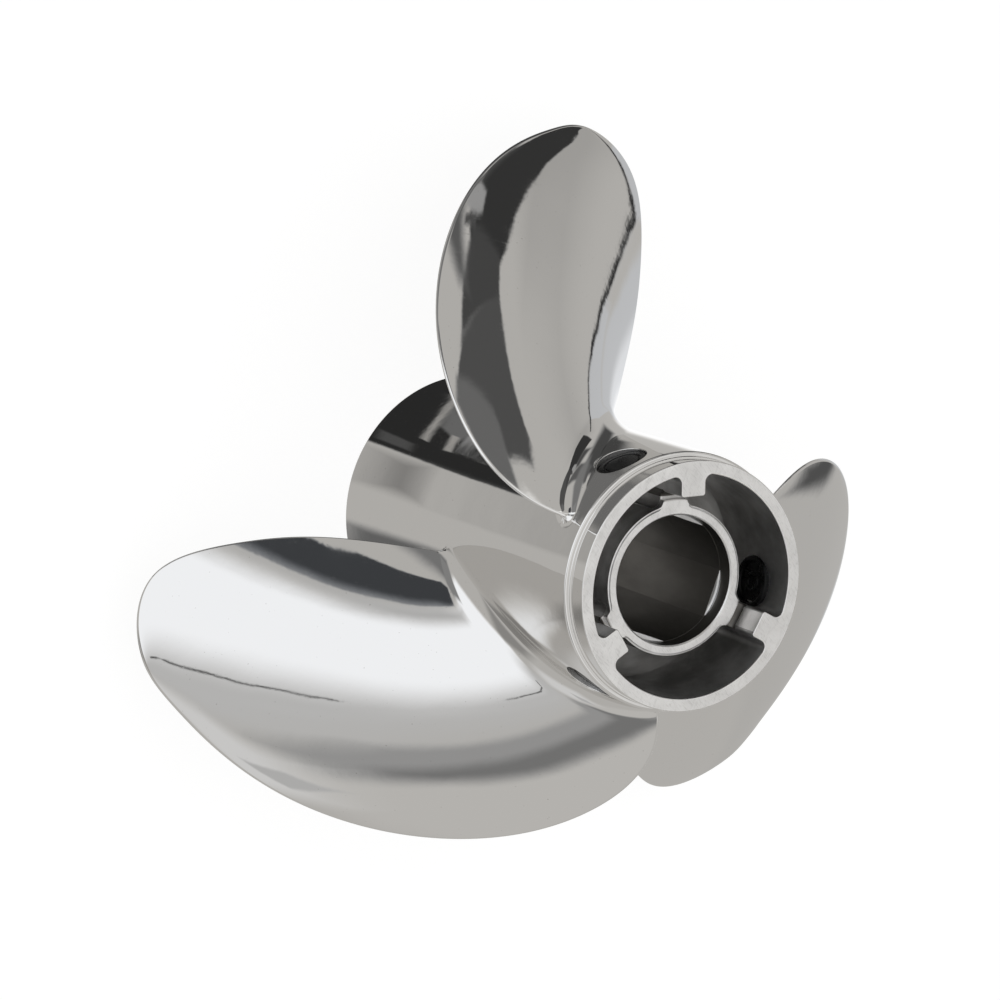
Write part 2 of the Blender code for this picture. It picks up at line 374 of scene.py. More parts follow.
def blade_points(ring, sign, rise, spread, root):
    """Points of a blade where rise is the height above the barrel and spread the fillet's width.

    The chord is a straight line between the edges on the unrolled cylinder. Off it lies the middle line, a
    parabola of camber, and half the thickness on either side: a round nose plus a parabola. Last, each point
    moves out of the section by the fillet's width, square to the section's outline.
    """
    radius = root + rise
    ahead, behind = (
        [np.interp(radius, table[0], table[k]) for k in (1, 2)]
        + [np.stack([np.interp(radius, table[0], table[3][:, k]) for k in range(3)], -1)]
        for table in (LEADING, TRAILING)
    )
    run = radius * np.radians(ahead[0] - behind[0])
    drop = ahead[1] - behind[1]
    chord = np.hypot(run, drop)
    cosine, sine = run / chord, drop / chord
    along = [np.clip(edge[2][..., 0] * cosine + edge[2][..., 1] * sine, -1, 1) for edge in (ahead, behind)]
    square = [np.sqrt(1 - a**2) for a in along]
    nose = [np.minimum(EDGE_THICKNESS / 2 / np.maximum(s, 1e-3), NOSE_BY_CHORD * chord) for s in square]
    x = nose[0] * ring[0] + (chord - nose[0] - nose[1]) * ring[1] + nose[1] * ring[2]
    inset = np.minimum(np.minimum(x * square[0], (chord - x) * square[1]), REACH - radius)
    inset = np.clip(inset / (EDGE_THICKNESS / 2), 0, 1)
    share = x / chord
    bulge = 4 * share * (1 - share)
    span = np.clip((radius - BARREL_RADIUS) / (REACH - BARREL_RADIUS), 0, 1)
    thick = ROOT_THICKNESS + (TIP_THICKNESS - ROOT_THICKNESS) * span**THICKNESS_CURVE
    thick = np.minimum(thick, EDGE_THICKNESS + THICKNESS_BY_CHORD * chord)
    half = EDGE_THICKNESS / 2 * np.sqrt(1 - (1 - inset) ** 2) + (thick - EDGE_THICKNESS) / 2 * bulge
    y = CAMBER * chord * bulge + sign * half
    flat = np.stack([x, y], -1)
    way = slopes(flat, 1, True)
    x, y = x - way[..., 1] * spread, y + way[..., 0] * spread
    angle = np.radians(ahead[0]) - (x * cosine + y * sine) / radius
    height = LENGTH + ahead[1] - x * sine + y * cosine
    return np.stack([radius * np.cos(angle), radius * np.sin(angle), height], -1)


def clear_of_vent(points, root):
    """Moves the toe of the fillet out of the vent hole that lies in front of the blade.

    Seen along the hole's axis, a point nearer to it than the limit is moved straight out to just beyond it,
    on its own cylinder. The shift fades to nothing at the height of the fillet.
    """
    seen = turn_about_shaft(points, -VENT_ANGLE)
    radius = np.hypot(seen[..., 0], seen[..., 1])
    across, up = seen[..., 1], seen[..., 2] - VENT_HEIGHT
    far = np.maximum(np.hypot(across, up), 1e-6)
    limit = VENT_RADIUS + VENT_CLEAR
    pushed = (far + limit + np.sqrt((far - limit) ** 2 + VENT_SOFTNESS)) / 2
    fade = np.clip(1 - (radius - root) / FILLET, 0, 1) ** 2 * (seen[..., 0] > 0)
    stretch = 1 + (pushed / far - 1) * fade
    across, up = across * stretch, up * stretch
    ahead = np.copysign(np.sqrt(np.maximum(radius**2 - across**2, 0)), seen[..., 0])
    return turn_about_shaft(np.stack([ahead, across, up + LENGTH - VENT_DEPTH], -1), VENT_ANGLE)


def blade_surface():
    """Rings of one blade from just inside the barrel's wall to the tip, with their normals and a tip point.

    The first rings follow the fillet, a quarter circle that starts flat on the barrel. The rest climb to the
    tip in sine steps, which come closer together where the outline turns round. The barrel's radius depends
    on the height where the foot lands, so the foot is worked out several times, each time from the last.
    """
    ring, sign = section_shares()
    share = ring[1][None, :]
    fillet = LEADING_FILLET + (TRAILING_FILLET - LEADING_FILLET) * share
    fillet = fillet + (FILLET - fillet) * np.sqrt(4 * share * (1 - share))
    climb = np.linspace(0, math.pi / 2, FILLET_STEPS + 1)[:, None]
    out = np.sin(np.linspace(0, math.pi / 2, SPAN_STEPS + 1)[1:-1, None])
    root = np.full((1, ring.shape[1]), BARREL_RADIUS + FOOT_GUESS)
    for _ in range(FOOT_ROUNDS):
        rise = np.concatenate([fillet * (1 - np.cos(climb)), fillet + (REACH - root - fillet) * out])
        spread = np.concatenate([fillet * (1 - np.sin(climb)), 0 * fillet * out])
        points = clear_of_vent(blade_points(ring[:, None, :], sign, rise, spread, root), root)
        root = barrel_radius(points[:1, :, 2]) + ROOT_LIFT
    normals = unit(np.cross(slopes(points, 1, True), slopes(points, 0, False)))
    landing, step = points[0, :, 2], 0.1
    lean = (barrel_radius(landing + step) - barrel_radius(landing - step)) / (2 * step)
    normals[0] = unit(np.concatenate([unit(points[0, :, :2]), -lean[:, None]], -1))
    below = points[:1] - normals[:1] * np.array([1.0, 1.0, 0.0])
    tip_angle = math.radians(BLADE_TIP[1])
    tip = np.array([REACH * math.cos(tip_angle), REACH * math.sin(tip_angle), LENGTH + BLADE_TIP[2]])
    return np.concatenate([below, points]), np.concatenate([normals[:1], normals]), tip


def blade_mesh(name, degrees, surface):
    """One blade, turned about the shaft, and closed by a fan at its tip and by strips across its foot.

    The strips join each front point of the foot to the one behind it, so they stay inside the barrel's wall.
    """
    points, normals, tip = surface
    rows, columns = points.shape[:2]
    everything = np.concatenate([points.reshape(-1, 3), tip[None]])
    facing = np.concatenate([normals.reshape(-1, 3), unit(tip * np.array([1, 1, 0]))[None]])
    half = columns // 2
    j = np.arange(1, half - 1)
    strips = np.stack([j + 1, j, columns - j, columns - j - 1], -1)
    corners = np.array([[1, 0, columns - 1], [half, half - 1, half + 1]])
    faces = [ring_quads(rows, columns), strips, corners, end_fan(rows - 1, columns, rows * columns)]
    return make_mesh(name, turn_about_shaft(everything, degrees), faces, turn_about_shaft(facing, degrees))


surface = blade_surface()
print("rows and columns of a blade:", surface[0].shape[:2])

# %% [markdown]
# The barrel and its front ring
#
# The barrel is a turned shape, but three stubs reach inwards from its front ring, where the spokes begin.
# The ring's inner outline is therefore drawn as arcs, fillets and straight flanks with a fixed number of
# points each. The same points run down the passage walls, and fan out over the flat face to the evenly
# spaced points of the outside, so one closed net covers the barrel inside and out.

# %% The inner outline of the front ring
ARC_POINTS, FILLET_POINTS, FLANK_POINTS, CORNER_POINTS, TIP_POINTS = 98, 10, 7, 6, 16
THIRD = ARC_POINTS + 2 * (FILLET_POINTS + FLANK_POINTS + CORNER_POINTS) + TIP_POINTS
COLUMNS = BLADES * THIRD
COLUMN_ANGLES = math.radians(SPOKE_ANGLE) + np.arange(COLUMNS) * (2 * math.pi / COLUMNS)
ROOT_FILLET = 3.5
STUB_CORNER = 1.3


def arc(centre, size, start, end, steps):
    """Points on a circle's arc from start to end in radians, and their directions from its centre."""
    swing = np.linspace(start, end, steps + 1)
    way = np.stack([np.cos(swing), np.sin(swing)], -1)
    return np.array(centre) + size * way, way


def straight(start, end, steps, way):
    """Points on a straight line from start to end, and the direction that it faces at each of them."""
    share = np.linspace(0, 1, steps + 1)[:, None]
    return np.array(start) + (np.array(end) - np.array(start)) * share, np.tile(way, (steps + 1, 1))


def all_thirds(flat):
    """Pairs of numbers that are drawn about the first stub, and the same turned for the others."""
    flat = np.pad(flat, ((0, 0), (0, 1)))
    return np.concatenate([turn_about_shaft(flat, SPOKE_ANGLE + third) for third in THIRDS])


def ring_outline(wall):
    """The outline whose arcs have this radius, from the middle of the first stub's tip, and its directions.

    Half of one third is drawn with the stub along X: half its tip, a rounded corner, the flank, the fillet
    and half the arc. It is mirrored for the other half, and turned for the other thirds.
    """
    side, tip = SPOKE_WIDTH / 2, STUB_INNER_RADIUS
    corner = (tip + STUB_CORNER, side - STUB_CORNER)
    reach = wall - ROOT_FILLET
    bend = (math.sqrt(reach**2 - (side + ROOT_FILLET) ** 2), side + ROOT_FILLET)
    angle = math.atan2(bend[1], bend[0])
    lines = [
        straight((tip, 0), (tip, corner[1]), TIP_POINTS // 2, (-1, 0)),
        arc(corner, STUB_CORNER, math.pi, math.pi / 2, CORNER_POINTS),
        straight((corner[0], side), (bend[0], side), FLANK_POINTS, (0, 1)),
        arc(bend, ROOT_FILLET, -math.pi / 2, angle, FILLET_POINTS),
        arc((0, 0), wall, angle, math.pi / BLADES, ARC_POINTS // 2),
    ]
    points = np.concatenate([line[0][:-1] for line in lines] + [lines[-1][0][-1:]])
    signs = (1, 1, 1, -1, -1)
    ways = np.concatenate([line[1][:-1] * s for line, s in zip(lines, signs)] + [-lines[-1][1][-1:]])
    third = 2 * math.pi / BLADES
    mirror = np.array([[math.cos(third), math.sin(third)], [math.sin(third), -math.cos(third)]])
    points, ways = (np.concatenate([half, half[-2:0:-1] @ mirror]) for half in (points, ways))
    return all_thirds(points), all_thirds(ways)


outline, outline_ways = ring_outline(CHAMBER_RADIUS)
print("columns round the barrel:", COLUMNS, "points in the ring's outline:", len(outline))

# %% Rings of the barrel, from the outside over the front face and down the passages
UP = np.array([0.0, 0.0, 1.0])
# The last finish is the bore's steel painted dark as painted shade, and it marks other shaded places too.
POLISHED, MACHINED, CAST, BORE_AND_SHADE = 0, 1, 2, 3
WINDOW = 15.0
WINDOW_ROWS = 20
FACE_EASE = 0.4
FAN_RADIUS = CHAMBER_RADIUS + 1.6
FAN_ANGLES = (0, 3, 4.2, 6)
CHAMBER_TAPER = 12.0


def outside_rings():
    """Points and directions of the turned outside, from the rear rim's inner edge to the front face's rim."""
    seat = LENGTH - SPIGOT_DEPTH
    inside = REAR_RADIUS - REAR_WALL
    low, high = VENT_HEIGHT - WINDOW, VENT_HEIGHT + WINDOW
    heights = np.concatenate(
        [
            np.linspace(3, FLARE_LENGTH, 34),
            np.linspace(FLARE_LENGTH, low, 24)[1:],
            np.linspace(low, high, WINDOW_ROWS + 1)[1:],
        ]
    )
    chain = [(inside, 6, 0), (inside, 0, 0.5), (REAR_RADIUS, 0, 0.9)]
    chain += [(float(barrel_radius(z)), z, 0) for z in heights]
    chain += [(BARREL_RADIUS, seat, 1.1), (FACE_RADIUS, seat, 0.35)]
    chain += [(FACE_RADIUS, LENGTH, 0.5), (FACE_RADIUS - 1, LENGTH, 0)]
    points, normals = rounded_profile(chain, 8)
    return points[1:-1], normals[1:-1]


def fanned_ring():
    """A ring on the front face between the stubs and the rim, whose columns are closer together at the stubs.

    Seen from the shaft the outline doubles back along a stub's flank, so its points can't run straight out.
    Each group of points gets a span of angles of its own here, inside the metal.
    """
    groups = (TIP_POINTS // 2, CORNER_POINTS, FLANK_POINTS, FILLET_POINTS, ARC_POINTS // 2)
    foot = math.degrees(math.asin((SPOKE_WIDTH / 2 + ROOT_FILLET) / (CHAMBER_RADIUS - ROOT_FILLET)))
    ends = np.concatenate([[0], np.cumsum(groups)])
    half = np.interp(np.arange(THIRD // 2 + 1), ends, (*FAN_ANGLES, foot, 60))
    one = np.concatenate([half, 120 - half[-2:0:-1]])
    angles = np.radians(SPOKE_ANGLE + np.concatenate([one + third for third in THIRDS]))
    return np.stack([np.cos(angles), np.sin(angles), 0 * angles], -1) * FAN_RADIUS + UP * LENGTH


def face_and_passage_rings():
    """Rings over the front face, round its inner edge and down the passage walls to where the spokes end.

    Below the chamber the wall widens along a smooth step, 3 s^2 - 2 s^3 of the share s of the taper's length.
    """
    edge = outline - outline_ways * FACE_EASE + UP * LENGTH
    swing = np.linspace(0, math.pi / 2, 6)[:, None, None]
    lean = outline_ways * np.sin(swing) + UP * np.cos(swing)
    rings = list(edge + (lean - UP) * FACE_EASE)
    ways = list(lean)
    marks = [MACHINED] + [POLISHED] * (len(rings) - 1)
    wide = BARREL_RADIUS - BARREL_WALL
    taper_end = LENGTH - CHAMBER_DEPTH - CHAMBER_TAPER
    levels = [np.linspace(LENGTH - 2, taper_end, 21), np.linspace(taper_end, SPOKE_LOW, 8)[1:]]
    for level in np.concatenate(levels):
        share = np.clip((LENGTH - CHAMBER_DEPTH - level) / CHAMBER_TAPER, 0, 1)
        spots, facing = ring_outline(CHAMBER_RADIUS + (wide - CHAMBER_RADIUS) * share**2 * (3 - 2 * share))
        rings.append(spots + UP * level)
        ways.append(facing * (level > SPOKE_LOW))
        marks.append(CAST)
    return rings, ways, marks


print("rings round the outside:", len(outside_rings()[0]))

# %% [markdown]
# The vent holes
#
# The round holes behind the shoulder are drilled, and their edges are broken by polishing. A Boolean would
# cut them, but it leaves long thin faces that a mirror finish shows. Here a window is left out of the
# barrel's net, and rings that start square, like the window, and end round fill it.

# %% A vent hole
VENT_EASE = 0.4
POCKET_RADIUS = 55.0


def vent_patch(perimeter):
    """Rings from a window's edge in to the hole's rounded edge and down its wall, in the hole's own frame.

    Along X lies the hole's axis. Between the window's edge and the circle the points move in a straight
    line across the hole's plane and are lifted onto the barrel. The edge turns through a quarter circle.
    """
    across, up = perimeter[:, 1], perimeter[:, 2] - VENT_HEIGHT
    far = np.hypot(across, up)
    way = np.stack([0 * far, across / far, up / far], -1)
    rings = [(far + (VENT_RADIUS + VENT_EASE - far) * share, 0.0, 0.0) for share in (0.3, 0.6, 0.85, 1.0)]
    for turn in np.linspace(0.3, math.pi / 2, 5):
        sink = VENT_EASE * (1 - math.cos(turn))
        rings.append((VENT_RADIUS + VENT_EASE * (1 - math.sin(turn)), sink, turn))
    points, ways = [], []
    for size, sink, turn in rings:
        spot = way * np.reshape(size, (-1, 1)) + UP * VENT_HEIGHT
        spot[:, 0] = np.sqrt(barrel_radius(spot[:, 2]) ** 2 - spot[:, 1] ** 2)
        facing = unit(spot * np.array([1, 1, 0]))
        points.append(spot - np.array([sink, 0, 0]))
        ways.append(facing * math.cos(turn) - way * math.sin(turn))
    floor = points[-1].copy()
    floor[:, 0] = POCKET_RADIUS
    points += [(points[-1] + floor) / 2, floor]
    ways += [-way, 0 * way]
    return np.array(points), np.array(ways)


print("vent holes", 2 * VENT_RADIUS, "mm across")

# %% The barrel's net
REAR_ROWS = 22
REAR_ROWS_END = 4.0
WINDOW_COLUMN, WINDOW_COLUMNS = 8, 41
STUB_END_DEPTH = HUB_FACE_DEPTH + 3


def barrel_mesh(name):
    """The barrel as one closed net, with a window cut for each vent hole and a round pocket let into it.

    The rings' first and last rows join inside the rear rim. Points that no face uses any more are dropped.
    """
    rings, ways = (list(part) for part in revolve(*outside_rings(), COLUMN_ANGLES))
    marks = [POLISHED] * (len(rings) - 1)
    face_rings, face_ways, face_marks = face_and_passage_rings()
    rings.append(fanned_ring())
    ways.append(np.tile(UP, (COLUMNS, 1)))
    marks.append(MACHINED)
    heights = np.linspace(SPOKE_LOW - 2, REAR_ROWS_END, REAR_ROWS)
    wall = REAR_WALL + (BARREL_WALL - REAR_WALL) * np.clip(heights / FLARE_LENGTH, 0, 1)
    inner = np.stack([barrel_radius(heights) - wall, heights], -1)
    inside, _ = revolve(inner, 0 * inner, COLUMN_ANGLES)
    rings += face_rings + list(inside)
    ways += face_ways + [np.zeros((COLUMNS, 3))] * len(inside)
    marks += face_marks + [CAST] * (len(inside) + 1)

    points, normals = np.concatenate(rings), np.concatenate(ways)
    points[:, 2] = np.maximum(points[:, 2], 0)
    quads = ring_quads(len(rings), COLUMNS, closed_rows=True)
    finish = np.repeat(marks, COLUMNS)
    middle = np.abs((np.arange(COLUMNS) + THIRD // 2) % THIRD - THIRD // 2)
    near_stub = np.tile(middle, len(rings)) < TIP_POINTS // 2
    shallow = LENGTH - points[: len(finish), 2] < STUB_END_DEPTH
    finish = np.where(near_stub & (finish == CAST) & shallow, MACHINED, finish)

    profile = outside_rings()[0]
    first = int(np.abs(profile[:, 1] - (VENT_HEIGHT - WINDOW)).argmin())
    last = first + WINDOW_ROWS
    row, column = np.divmod(np.arange(len(quads)), COLUMNS)
    keep = np.ones(len(quads), bool)
    faces, patch_marks = [], []
    wide = WINDOW_COLUMNS
    down, across = np.arange(WINDOW_ROWS), np.arange(wide)
    for k in range(BLADES):
        left = THIRD * k + WINDOW_COLUMN
        keep &= ~((row >= first) & (row < last) & ((column - left) % COLUMNS < wide))
        edge = np.concatenate(
            [
                first * COLUMNS + (left + across) % COLUMNS,
                (first + down) * COLUMNS + (left + wide) % COLUMNS,
                last * COLUMNS + (left + wide - across) % COLUMNS,
                (last - down) * COLUMNS + left,
            ]
        )
        angle = VENT_ANGLE + 360 / BLADES * (k + 1)
        patch, facing = vent_patch(turn_about_shaft(points[edge], -angle))
        index = np.concatenate([edge, len(points) + np.arange(patch[..., 0].size + 1)])
        grid = ring_quads(len(patch) + 1, len(edge))
        fan = end_fan(len(patch), len(edge), (len(patch) + 1) * len(edge))
        faces += [index[grid], index[fan]]
        patch_marks.append(np.repeat([POLISHED] * (len(patch) - 2) + [CAST] * 3, len(edge)))
        centre = np.array([[POCKET_RADIUS, 0, VENT_HEIGHT]])
        added = np.concatenate([patch.reshape(-1, 3), centre])
        points = np.concatenate([points, turn_about_shaft(added, angle)])
        directions = np.concatenate([facing.reshape(-1, 3), 0 * centre])
        normals = np.concatenate([normals, turn_about_shaft(directions, angle)])
    faces = [quads[keep]] + faces
    used = np.unique(np.concatenate([f.ravel() for f in faces]))
    fresh = np.zeros(len(points), np.int64)
    fresh[used] = np.arange(len(used))
    marks = np.concatenate([finish[keep]] + patch_marks)
    return make_mesh(name, points[used], [fresh[f] for f in faces], normals[used], marks)


# %% [markdown]
# The inner hub
#
# The shaft's rubber bush sits in the inner hub: a turned tube with a short round bore in front and four flats
# behind, cut with a broach. Where a spoke meets the hub's face, the facing tool has left a small lug, and
# where it meets the side the casting has a fillet. It is a tube whose outline changes from row to row.

# %% The inner hub
LUG_FILLET = 4.0
LUG_FACE_RADIUS = 36.75
LUG_BLEND = 0.6
LUG_EASE, LUG_EASE_DEPTH = 1.3, 0.65
RIM_EASE, RIM_SINK, RIM_START = 0.35, 0.25, 1.75
RIM_GROOVE = 0.35
GROOVE_WIDTH = 0.62
LEDGE_FILLET = 1.3
LEAST_COLUMN = 0.3


def hub_angles():
    """Angles of the hub's columns: every degree, and the corners of the socket's flats and of the lugs."""
    corner = math.degrees(math.acos(SOCKET_ACROSS_FLATS / 2 / SOCKET_RADIUS))
    lug = math.degrees(math.asin(SPOKE_WIDTH / 2 / LUG_FACE_RADIUS))
    flats = [90 * k + side * corner for k in range(4) for side in (-1, 1)]
    lugs = [SPOKE_ANGLE + third + side * lug for third in THIRDS for side in (-1, 1)]
    marks = np.mod(flats + lugs, 360)
    even = np.arange(0.5, 360)
    clear = np.abs((even[:, None] - marks + 180) % 360 - 180).min(axis=1) > LEAST_COLUMN
    return np.radians(np.sort(np.concatenate([even[clear], marks])))


def lug_outline(angles, round_part, end):
    """Radius of the hub's outline where its round part and the ends of its three lugs have these radii.

    A lug has the spoke's two sides, and each runs into the round part through a fillet: the near side of a
    small circle that touches both.
    """
    delta = np.radians(np.abs((np.degrees(angles) - SPOKE_ANGLE + 60) % 120 - 60))
    side = SPOKE_WIDTH / 2
    far = round_part + LUG_FILLET
    across = side + LUG_FILLET
    bend = math.asin(across / far)
    foot = math.atan2(side, math.sqrt(far**2 - across**2))
    swing = delta - bend
    fillet = far * np.cos(swing) - np.sqrt(np.maximum(LUG_FILLET**2 - (far * np.sin(swing)) ** 2, 0))
    flank = side / np.maximum(np.sin(delta), 1e-6)
    radius = np.where(delta < foot, flank, np.where(delta < bend, fillet, round_part))
    return np.minimum(radius, end)


def hub_side_rows(low, spoke_top):
    """Rows up the hub's cast side, which widens a little to the front, as radius, height and finish."""
    rows = [(HUB_RADIUS - 3, low, CAST), (HUB_RADIUS - 2, low + 1, CAST)]
    for share in np.linspace(0, 1, 12)[1:]:
        rows.append((HUB_RADIUS - 2 * (1 - share), low + 1 + (spoke_top - 0.05 - low - 1) * share, CAST))
    return rows


def hub_face_rows(angles, spoke_top):
    """Rows over the rim, the groove inside it and the turned face, as radius, height and finish.

    The groove is where the facing cut stops. On the lugs it runs out, so its depth fades there to nothing.
    """
    rows = []

    def add(round_part, end, height, finish):
        """Adds a row whose round part and lug ends have these radii."""
        rows.append((lug_outline(angles, round_part, end), height, finish))

    on_lug = np.clip((lug_outline(angles, HUB_RADIUS, LUG_RADIUS) - HUB_RADIUS) / LUG_BLEND, 0, 1)
    clear = 1 - on_lug
    rim = HUB_FACE - RIM_SINK * clear
    groove = rim - RIM_GROOVE * clear - 0.01
    dark = np.where(on_lug > 0.5, MACHINED, CAST)
    for height in (spoke_top, HUB_FACE - RIM_START):
        add(HUB_RADIUS, LUG_RADIUS, height, CAST)
    for t in np.linspace(0, math.pi / 2, 9):
        inset = 1 - math.cos(t)
        drop = (RIM_EASE + LUG_EASE_DEPTH * on_lug) * (1 - math.sin(t))
        finish = MACHINED if t > 0.4 else CAST
        add(HUB_RADIUS - RIM_EASE * inset, LUG_RADIUS - LUG_EASE * inset, rim - drop, finish)
    inner = HUB_FACE_RADIUS + GROOVE_WIDTH
    add(inner, LUG_FACE_RADIUS, rim, MACHINED)
    add(inner - 0.1, LUG_FACE_RADIUS - 0.1, groove, dark)
    add(HUB_FACE_RADIUS + 0.1, LUG_FACE_RADIUS - 0.3, groove, dark)
    add(HUB_FACE_RADIUS, LUG_FACE_RADIUS - 0.4, HUB_FACE - 0.12 * clear, dark)
    add(HUB_FACE_RADIUS - 0.12, LUG_FACE_RADIUS - 0.52, HUB_FACE, MACHINED)
    return rows


def hub_mouth_rows(angles, low):
    """Rows down the mouth's chamfer, the round bore, the ledge of each flat and the socket.

    The socket's radius is the smaller of a circle's and a flat's, which is half the width over a cosine.
    """
    ledge = LENGTH - SOCKET_DEPTH
    turn = (np.degrees(angles) + 45) % 90 - 45
    socket = np.minimum(SOCKET_RADIUS, SOCKET_ACROSS_FLATS / 2 / np.cos(np.radians(turn)))
    cove = np.minimum(LEDGE_FILLET, 0.8 * (BORE_RADIUS - socket))
    # Narrow ledges take the bore's dark finish: painted shade that hides the bright line along their
    # rounding.
    shelf = np.where(BORE_RADIUS - socket > 0.3, CAST, BORE_AND_SHADE)
    rows = []
    for share in np.linspace(0, 1, 3):
        rows.append((BORE_RADIUS + BORE_CHAMFER * (1 - share), HUB_FACE - BORE_CHAMFER * share, MACHINED))
    bore_top, bore_end = HUB_FACE - BORE_CHAMFER - 0.3, ledge + LEDGE_FILLET + 0.2
    rows += [(BORE_RADIUS, z, BORE_AND_SHADE) for z in np.linspace(bore_top, bore_end, 5)]
    for t in np.linspace(0, math.pi / 2, 8):
        inset, rise = cove * (1 - math.cos(t)), cove * (1 - math.sin(t))
        rows.append((BORE_RADIUS - inset, ledge + rise, shelf if t > 0 else BORE_AND_SHADE))
    rows += [(socket, ledge - 0.02, shelf), (socket, ledge - 0.3, BORE_AND_SHADE)]
    return rows + [(socket, z, BORE_AND_SHADE) for z in np.linspace(ledge - 6, low, 12)]


def hub_mesh(name):
    """The inner hub as one closed net of rings: side, lugs, rim, groove, face, mouth, bore and socket."""
    angles = hub_angles()
    low = HUB_FACE - HUB_LENGTH
    spoke_top = HUB_FACE - SPOKE_DROP - 0.1
    rows = hub_side_rows(low, spoke_top) + hub_face_rows(angles, spoke_top) + hub_mouth_rows(angles, low)
    c, s = np.cos(angles), np.sin(angles)
    rings = [np.stack([r * c, r * s, z + 0 * c], -1) for r, z, _ in rows]
    finish = np.concatenate([np.broadcast_to(mark, len(angles)) for _, _, mark in rows[1:] + rows[:1]])
    quads = ring_quads(len(rings), len(angles), closed_rows=True)
    return make_mesh(name, np.concatenate(rings), [quads], None, finish)


print("columns round the hub:", len(hub_angles()))

# %% [markdown]
# The spokes
#
# Three spokes carry the hub and part the exhaust passages. The facing tool has cut their front edges, their
# sides are as cast, and where they climb the stubs they are painted dark, as painted shade. A spoke could be
# a box with bevelled edges, but a loft of sections lets it spread at the hub and climb the stub in smooth
# curves.

# %% A spoke
SPOKE_START, SPOKE_END = 33.0, 50.0
SPOKE_EASE, SPOKE_COVE = 1.0, 3.2
SPOKE_MIDDLE = 150.0
SIDE_POINTS, EASE_POINTS = 6, 7


def spoke_mesh(name, degrees):
    """A spoke as a closed loft from inside the hub to inside the stub.

    Its half width is constant but for the fillet at the hub, where it follows a small circle. Its front edge
    lies below the hub's face, and climbs the stub's end through a quarter circle. A section climbs one side,
    turns over the two rounded edges, and comes down the other side. The front edge has the machined finish,
    the sides the cast one, and the climb and the two ends the bore's dark one, which is painted shade.
    """
    half = SPOKE_WIDTH / 2 - 0.02
    far, across = HUB_RADIUS + LUG_FILLET, SPOKE_WIDTH / 2 + LUG_FILLET
    bend = math.sqrt(far**2 - across**2)
    climb = STUB_INNER_RADIUS + 0.1 - SPOKE_COVE
    quarter = np.linspace(0, math.pi / 2, 9)
    spread, lift = bend - LUG_FILLET * np.cos(quarter), climb + SPOKE_COVE * np.sin(quarter)
    stations = np.concatenate([[SPOKE_START], spread, lift, [SPOKE_END]])
    rise = np.linspace(0, math.pi / 2, EASE_POINTS + 1)[1:]
    rings = []
    for station in stations:
        inside = min(max(bend - station, 0), LUG_FILLET)
        wide = half + LUG_FILLET - math.sqrt(LUG_FILLET**2 - inside**2)
        up = min(max(station - climb, 0), SPOKE_COVE)
        top = HUB_FACE - SPOKE_DROP + SPOKE_COVE - math.sqrt(SPOKE_COVE**2 - up**2)
        turn = top - SPOKE_EASE
        side = np.concatenate([np.full(SIDE_POINTS, wide), wide - SPOKE_EASE + SPOKE_EASE * np.cos(rise)])
        height = np.concatenate([np.linspace(SPOKE_LOW, turn, SIDE_POINTS), turn + SPOKE_EASE * np.sin(rise)])
        side, height = np.append(side, -side[::-1]), np.append(height, height[::-1])
        rings.append(np.stack([np.full(len(side), station), side, height], -1))
    middles = [[SPOKE_START, 0, SPOKE_MIDDLE], [SPOKE_END, 0, SPOKE_MIDDLE]]
    columns = len(rings[0])
    points = turn_about_shaft(np.concatenate(rings + [middles]), degrees)
    on_top = np.abs(np.arange(columns) - columns / 2 + 0.5) < EASE_POINTS
    # The climb takes the bore's dark finish: painted shade where the stub shades the spoke.
    finish = np.where(stations[1:, None] > climb + 1, BORE_AND_SHADE, np.where(on_top, MACHINED, CAST))
    finish = np.concatenate([finish.ravel(), np.full(2 * columns, BORE_AND_SHADE)])
    return make_mesh(name, points, tube_faces(len(rings), columns), None, finish)


print("spokes", SPOKE_WIDTH, "mm wide and", SPOKE_LENGTH, "mm long")

# %% [markdown]
# The vent plugs
#
# Black moulded plugs close the vent holes in the barrel. A plug is a turned shape with a low dome and a ring
# groove outside, and a flange with a raised ring that shows inside the passage. The profile could be turned
# with a Screw modifier, but the rings give the exact directions along its rounded corners.

# %% A vent plug
PLUG_RADIUS = VENT_RADIUS - 0.12
PLUG_COLUMNS = 96
# Corners from the inner face's middle to the outer one's: radius, distance from the shaft, and rounding
PLUG_PROFILE = (
    (0.0, 51.2, 0), (3.0, 51.2, 0.4), (3.2, 50.5, 0.4), (4.6, 50.5, 0.4), (4.8, 51.2, 0.4), (9.4, 51.2, 0.5),
    (9.9, 49.8, 0.5), (12.4, 49.8, 0.8), (12.4, 53.0, 0.3), (PLUG_RADIUS, 53.0, 0.3),
    (PLUG_RADIUS, 58.0, 0.7), (9.0, 58.2, 0.3), (8.7, 57.6, 0.3), (8.0, 57.6, 0.3), (7.7, 58.3, 0.3),
    (4.0, 58.42, 0), (0.0, 58.45, 0),
)


